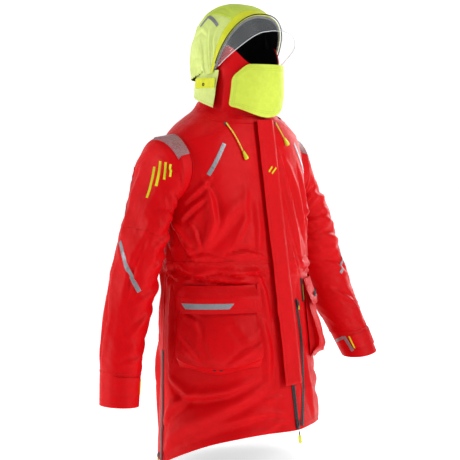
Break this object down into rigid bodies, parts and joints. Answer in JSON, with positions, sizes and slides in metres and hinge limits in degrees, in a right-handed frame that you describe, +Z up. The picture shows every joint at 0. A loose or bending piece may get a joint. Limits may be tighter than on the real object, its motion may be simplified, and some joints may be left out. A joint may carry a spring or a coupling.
{
  "type": "foul weather jacket",
  "caption": "Long hooded offshore sailing jacket with storm flap, face guard, cargo pockets, sleeves that swing and bend, and zips that slide.",
  "frame": {"origin": "middle of the neck opening, level with the collar seam at the throat, where the wearer's neck holds the jacket up", "axes": "+Z up along the length of the jacket, -Y out of the front, +X to the wearer's left"},
  "size_m": [0.8077, 0.3784, 1.0846],
  "materials": {
    "red_shell": "matte",
    "neon_shell": "matte",
    "black_lining": "matte",
    "reflective_tape": "satin",
    "zip_tape": "satin",
    "slider_metal": "satin",
    "clear_film": "gloss",
    "shoulder_mesh": "matte",
    "cord": "matte",
    "neon_plastic": "matte",
    "striped_elastic": "matte",
    "hook_tape": "matte"
  },
  "bodies": {
    "torso": {"back_panel": "red_shell", "front_panel_right": "red_shell", "front_panel_left": "red_shell", "body_lining": "black_lining", "collar": "red_shell", "collar_lining": "black_lining", "hang_loop": "black_lining", "face_guard_hook": "hook_tape", "hood_neck": "neon_shell", "hood_adjuster_tab": "neon_shell", "inner_flap": "black_lining", "front_zip_right": "zip_tape", "front_zip_left": "zip_tape", "gusset_zip": "zip_tape", "side_zip_right": "zip_tape", "side_zip_left": "zip_tape", "pocket_bag_right": "red_shell", "pocket_bag_left": "red_shell", "handwarmer_zip_right": "zip_tape", "handwarmer_zip_left": "zip_tape", "chest_tape_right": "reflective_tape", "chest_tape_left": "reflective_tape", "cord_grommet_right": "slider_metal", "cord_grommet_left": "slider_metal", "drawcord_right": "cord", "drawcord_left": "cord", "toggle_right": "neon_plastic", "toggle_left": "neon_plastic"},
    "hood": {"hood_shell": "neon_shell", "hood_lining": "black_lining", "hood_elastic": "striped_elastic", "hood_visor": "clear_film", "hood_volume_tab": "neon_shell"},
    "face_guard": {"face_guard": "neon_shell"},
    "storm_flap": {"storm_flap": "red_shell"},
    "front_zip_slider": {"front_zip_slider": "slider_metal"},
    "front_zip_puller": {"front_zip_puller": "neon_plastic"},
    "gusset_slider": {"gusset_slider": "slider_metal"},
    "side_slider_right": {"side_slider_right": "slider_metal"},
    "side_slider_left": {"side_slider_left": "slider_metal"},
    "sleeve_right_upper": {"sleeve_right_upper": "red_shell", "shoulder_patch_right": "shoulder_mesh"},
    "sleeve_right_lower": {"sleeve_right_lower": "red_shell", "cuff_lining_right": "black_lining", "sleeve_tape_right": "reflective_tape"},
    "cuff_tab_right": {"cuff_tab_right": "red_shell"},
    "pocket_flap_right": {"pocket_flap_right": "red_shell", "pocket_tape_right": "reflective_tape", "pocket_hook_right": "hook_tape"},
    "sleeve_left_upper": {"sleeve_left_upper": "red_shell", "shoulder_patch_left": "shoulder_mesh"},
    "sleeve_left_lower": {"sleeve_left_lower": "red_shell", "cuff_lining_left": "black_lining", "sleeve_tape_left": "reflective_tape"},
    "cuff_tab_left": {"cuff_tab_left": "red_shell"},
    "pocket_flap_left": {"pocket_flap_left": "red_shell", "pocket_tape_left": "reflective_tape", "pocket_hook_left": "hook_tape"}
  },
  "joints": [
    {"name": "right_sleeve_lift", "type": "hinge", "parent": "torso", "child": "sleeve_right_upper", "pos_m": [-0.1765, 0.03, -0.038], "axis": [0, 1, 0], "range_deg": [0, 40]},
    {"name": "left_sleeve_lift", "type": "hinge", "parent": "torso", "child": "sleeve_left_upper", "pos_m": [0.1765, 0.03, -0.038], "axis": [0, -1, 0], "range_deg": [0, 40]},
    {"name": "right_elbow_bend", "type": "hinge", "parent": "sleeve_right_upper", "child": "sleeve_right_lower", "pos_m": [-0.26808, -0.0246, -0.2744], "axis": [-1, 0, 0], "range_deg": [0, 70]},
    {"name": "left_elbow_bend", "type": "hinge", "parent": "sleeve_left_upper", "child": "sleeve_left_lower", "pos_m": [0.29552, -0.0407, -0.2684], "axis": [-1, 0, 0], "range_deg": [0, 60]},
    {"name": "right_cuff_tab_peel", "type": "hinge", "parent": "sleeve_right_lower", "child": "cuff_tab_right", "pos_m": [-0.39265, -0.00663, -0.59959], "axis": [-0.1585, -0.1224, -0.9797], "range_deg": [0, 60]},
    {"name": "left_cuff_tab_peel", "type": "hinge", "parent": "sleeve_left_lower", "child": "cuff_tab_left", "pos_m": [0.40091, -0.0883, -0.55507], "axis": [-0.0627, 0.4466, 0.8925], "range_deg": [0, 60]},
    {"name": "hood_tilt", "type": "hinge", "parent": "torso", "child": "hood", "pos_m": [0, 0.107, 0.104], "axis": [-1, 0, 0], "range_deg": [0, 55]},
    {"name": "face_guard_open", "type": "hinge", "parent": "torso", "child": "face_guard", "pos_m": [0.0867, -0.057, 0.06], "axis": [0, 0, 1], "range_deg": [0, 110]},
    {"name": "storm_flap_open", "type": "hinge", "parent": "torso", "child": "storm_flap", "pos_m": [0.031, -0.199, -0.624], "axis": [0, 0.1532, 0.9882], "range_deg": [0, 115]},
    {"name": "right_pocket_flap_lift", "type": "hinge", "parent": "torso", "child": "pocket_flap_right", "pos_m": [-0.1715, -0.1068, -0.3868], "axis": [-0.7455, 0.6665, 0], "range_deg": [0, 75]},
    {"name": "left_pocket_flap_lift", "type": "hinge", "parent": "torso", "child": "pocket_flap_left", "pos_m": [0.1864, -0.0922, -0.3868], "axis": [-0.6738, -0.7389, 0], "range_deg": [0, 75]},
    {"name": "front_zip_slide", "type": "slide", "parent": "torso", "child": "front_zip_slider", "axis": [0, 0.1532, 0.9882], "range_m": [0, 0.65]},
    {"name": "front_zip_puller_swing", "type": "hinge", "parent": "front_zip_slider", "child": "front_zip_puller", "pos_m": [0, -0.2087, -0.7285], "axis": [-1, 0, 0], "range_deg": [0, 90]},
    {"name": "gusset_zip_slide", "type": "slide", "parent": "torso", "child": "gusset_slider", "axis": [0.0271, -0.1342, -0.9906], "range_m": [0, 0.11]},
    {"name": "right_side_zip_slide", "type": "slide", "parent": "torso", "child": "side_slider_right", "axis": [0.0329, 0.0072, 0.9994], "range_m": [0, 0.18]},
    {"name": "left_side_zip_slide", "type": "slide", "parent": "torso", "child": "side_slider_left", "axis": [-0.0329, 0.0072, 0.9994], "range_m": [0, 0.18]}
  ]
}
